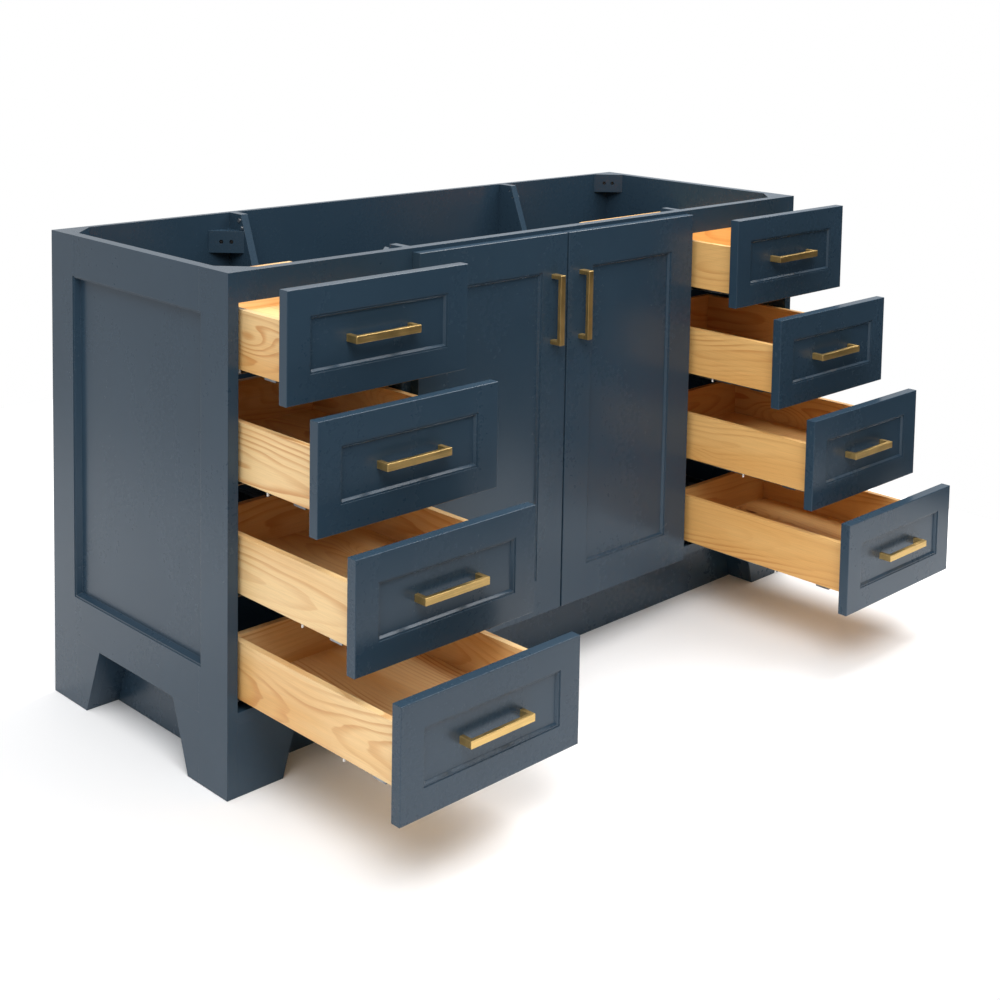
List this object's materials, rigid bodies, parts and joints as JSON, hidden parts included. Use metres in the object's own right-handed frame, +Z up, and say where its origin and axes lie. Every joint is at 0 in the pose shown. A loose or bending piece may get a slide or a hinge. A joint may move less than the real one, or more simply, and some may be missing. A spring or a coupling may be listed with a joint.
{
  "type": "bathroom vanity base cabinet",
  "caption": "Free-standing bathroom vanity base without its top: doors over a sink bay between two stacks of drawers on undermount slides, recessed fields, arched corner legs and bar pulls.",
  "frame": {"origin": "on the wall plane (rear face of the back panel), on the floor, on the centre line", "axes": "+X to the right seen from the front, +Y towards the wall, +Z up"},
  "size_m": [1.524, 1.014, 0.8763],
  "materials": {
    "painted_board": "satin blue-grey paint on board",
    "pine": "clear satin lacquer on pine",
    "brushed_brass": "brushed satin",
    "slide_steel": "zinc-plated sheet",
    "zinc_steel": "zinc-plated"
  },
  "bodies": {
    "carcass": {"side_panel_left": "painted_board", "side_panel_right": "painted_board", "face_frame": "painted_board", "back_panel": "painted_board", "bottom_panel": "painted_board", "plinth": "painted_board", "leg_blocks": "painted_board", "corner_blocks": "painted_board", "partition_left": "painted_board", "partition_right": "painted_board", "carcass_screws": "zinc_steel", "slide_cabinet_rails": "slide_steel", "hinge_plates": "zinc_steel"},
    "drawer_left_1": {"drawer_front_left_1": "painted_board", "drawer_box_left_1": "pine", "drawer_pull_left_1": "brushed_brass", "drawer_runner_left_1": "slide_steel"},
    "slide_left_1": {"slide_middle_left_1": "slide_steel"},
    "drawer_left_2": {"drawer_front_left_2": "painted_board", "drawer_box_left_2": "pine", "drawer_pull_left_2": "brushed_brass", "drawer_runner_left_2": "slide_steel"},
    "slide_left_2": {"slide_middle_left_2": "slide_steel"},
    "drawer_left_3": {"drawer_front_left_3": "painted_board", "drawer_box_left_3": "pine", "drawer_pull_left_3": "brushed_brass", "drawer_runner_left_3": "slide_steel"},
    "slide_left_3": {"slide_middle_left_3": "slide_steel"},
    "drawer_left_4": {"drawer_front_left_4": "painted_board", "drawer_box_left_4": "pine", "drawer_pull_left_4": "brushed_brass", "drawer_runner_left_4": "slide_steel"},
    "slide_left_4": {"slide_middle_left_4": "slide_steel"},
    "door_left": {"door_left": "painted_board", "door_pull_left": "brushed_brass", "door_hinge_cups_left": "zinc_steel"},
    "drawer_right_1": {"drawer_front_right_1": "painted_board", "drawer_box_right_1": "pine", "drawer_pull_right_1": "brushed_brass", "drawer_runner_right_1": "slide_steel"},
    "slide_right_1": {"slide_middle_right_1": "slide_steel"},
    "drawer_right_2": {"drawer_front_right_2": "painted_board", "drawer_box_right_2": "pine", "drawer_pull_right_2": "brushed_brass", "drawer_runner_right_2": "slide_steel"},
    "slide_right_2": {"slide_middle_right_2": "slide_steel"},
    "drawer_right_3": {"drawer_front_right_3": "painted_board", "drawer_box_right_3": "pine", "drawer_pull_right_3": "brushed_brass", "drawer_runner_right_3": "slide_steel"},
    "slide_right_3": {"slide_middle_right_3": "slide_steel"},
    "drawer_right_4": {"drawer_front_right_4": "painted_board", "drawer_box_right_4": "pine", "drawer_pull_right_4": "brushed_brass", "drawer_runner_right_4": "slide_steel"},
    "slide_right_4": {"slide_middle_right_4": "slide_steel"},
    "door_right": {"door_right": "painted_board", "door_pull_right": "brushed_brass", "door_hinge_cups_right": "zinc_steel"}
  },
  "joints": [
    {"name": "drawer_left_1_travel", "type": "slide", "parent": "carcass", "child": "drawer_left_1", "axis": [0, -1, 0], "range_m": [-0.1288, 0.3012]},
    {"name": "slide_left_1_travel", "type": "slide", "parent": "carcass", "child": "slide_left_1", "axis": [0, -1, 0], "range_m": [-0.0644, 0.1506]},
    {"name": "drawer_left_2_travel", "type": "slide", "parent": "carcass", "child": "drawer_left_2", "axis": [0, -1, 0], "range_m": [-0.2075, 0.2225]},
    {"name": "slide_left_2_travel", "type": "slide", "parent": "carcass", "child": "slide_left_2", "axis": [0, -1, 0], "range_m": [-0.10375, 0.11125]},
    {"name": "drawer_left_3_travel", "type": "slide", "parent": "carcass", "child": "drawer_left_3", "axis": [0, -1, 0], "range_m": [-0.3007, 0.1293]},
    {"name": "slide_left_3_travel", "type": "slide", "parent": "carcass", "child": "slide_left_3", "axis": [0, -1, 0], "range_m": [-0.15035, 0.06465]},
    {"name": "drawer_left_4_travel", "type": "slide", "parent": "carcass", "child": "drawer_left_4", "axis": [0, -1, 0], "range_m": [-0.4068, 0.0232]},
    {"name": "slide_left_4_travel", "type": "slide", "parent": "carcass", "child": "slide_left_4", "axis": [0, -1, 0], "range_m": [-0.2034, 0.0116]},
    {"name": "door_left_swing", "type": "hinge", "parent": "carcass", "child": "door_left", "pos_m": [-0.3775, -0.5856, 0.4985], "axis": [0, 0, -1], "range_deg": [0, 87]},
    {"name": "drawer_right_1_travel", "type": "slide", "parent": "carcass", "child": "drawer_right_1", "axis": [0, -1, 0], "range_m": [-0.1156, 0.3144]},
    {"name": "slide_right_1_travel", "type": "slide", "parent": "carcass", "child": "slide_right_1", "axis": [0, -1, 0], "range_m": [-0.0578, 0.1572]},
    {"name": "drawer_right_2_travel", "type": "slide", "parent": "carcass", "child": "drawer_right_2", "axis": [0, -1, 0], "range_m": [-0.2303, 0.1997]},
    {"name": "slide_right_2_travel", "type": "slide", "parent": "carcass", "child": "slide_right_2", "axis": [0, -1, 0], "range_m": [-0.11515, 0.09985]},
    {"name": "drawer_right_3_travel", "type": "slide", "parent": "carcass", "child": "drawer_right_3", "axis": [0, -1, 0], "range_m": [-0.3188, 0.1112]},
    {"name": "slide_right_3_travel", "type": "slide", "parent": "carcass", "child": "slide_right_3", "axis": [0, -1, 0], "range_m": [-0.1594, 0.0556]},
    {"name": "drawer_right_4_travel", "type": "slide", "parent": "carcass", "child": "drawer_right_4", "axis": [0, -1, 0], "range_m": [-0.4084, 0.0216]},
    {"name": "slide_right_4_travel", "type": "slide", "parent": "carcass", "child": "slide_right_4", "axis": [0, -1, 0], "range_m": [-0.2042, 0.0108]},
    {"name": "door_right_swing", "type": "hinge", "parent": "carcass", "child": "door_right", "pos_m": [0.3775, -0.5856, 0.4985], "axis": [0, 0, 1], "range_deg": [0, 87]}
  ],
  "couplings": [
    {"joint": "slide_left_1_travel", "follows": "drawer_left_1_travel", "ratio": 0.5},
    {"joint": "slide_left_2_travel", "follows": "drawer_left_2_travel", "ratio": 0.5},
    {"joint": "slide_left_3_travel", "follows": "drawer_left_3_travel", "ratio": 0.5},
    {"joint": "slide_left_4_travel", "follows": "drawer_left_4_travel", "ratio": 0.5},
    {"joint": "slide_right_1_travel", "follows": "drawer_right_1_travel", "ratio": 0.5},
    {"joint": "slide_right_2_travel", "follows": "drawer_right_2_travel", "ratio": 0.5},
    {"joint": "slide_right_3_travel", "follows": "drawer_right_3_travel", "ratio": 0.5},
    {"joint": "slide_right_4_travel", "follows": "drawer_right_4_travel", "ratio": 0.5}
  ]
}
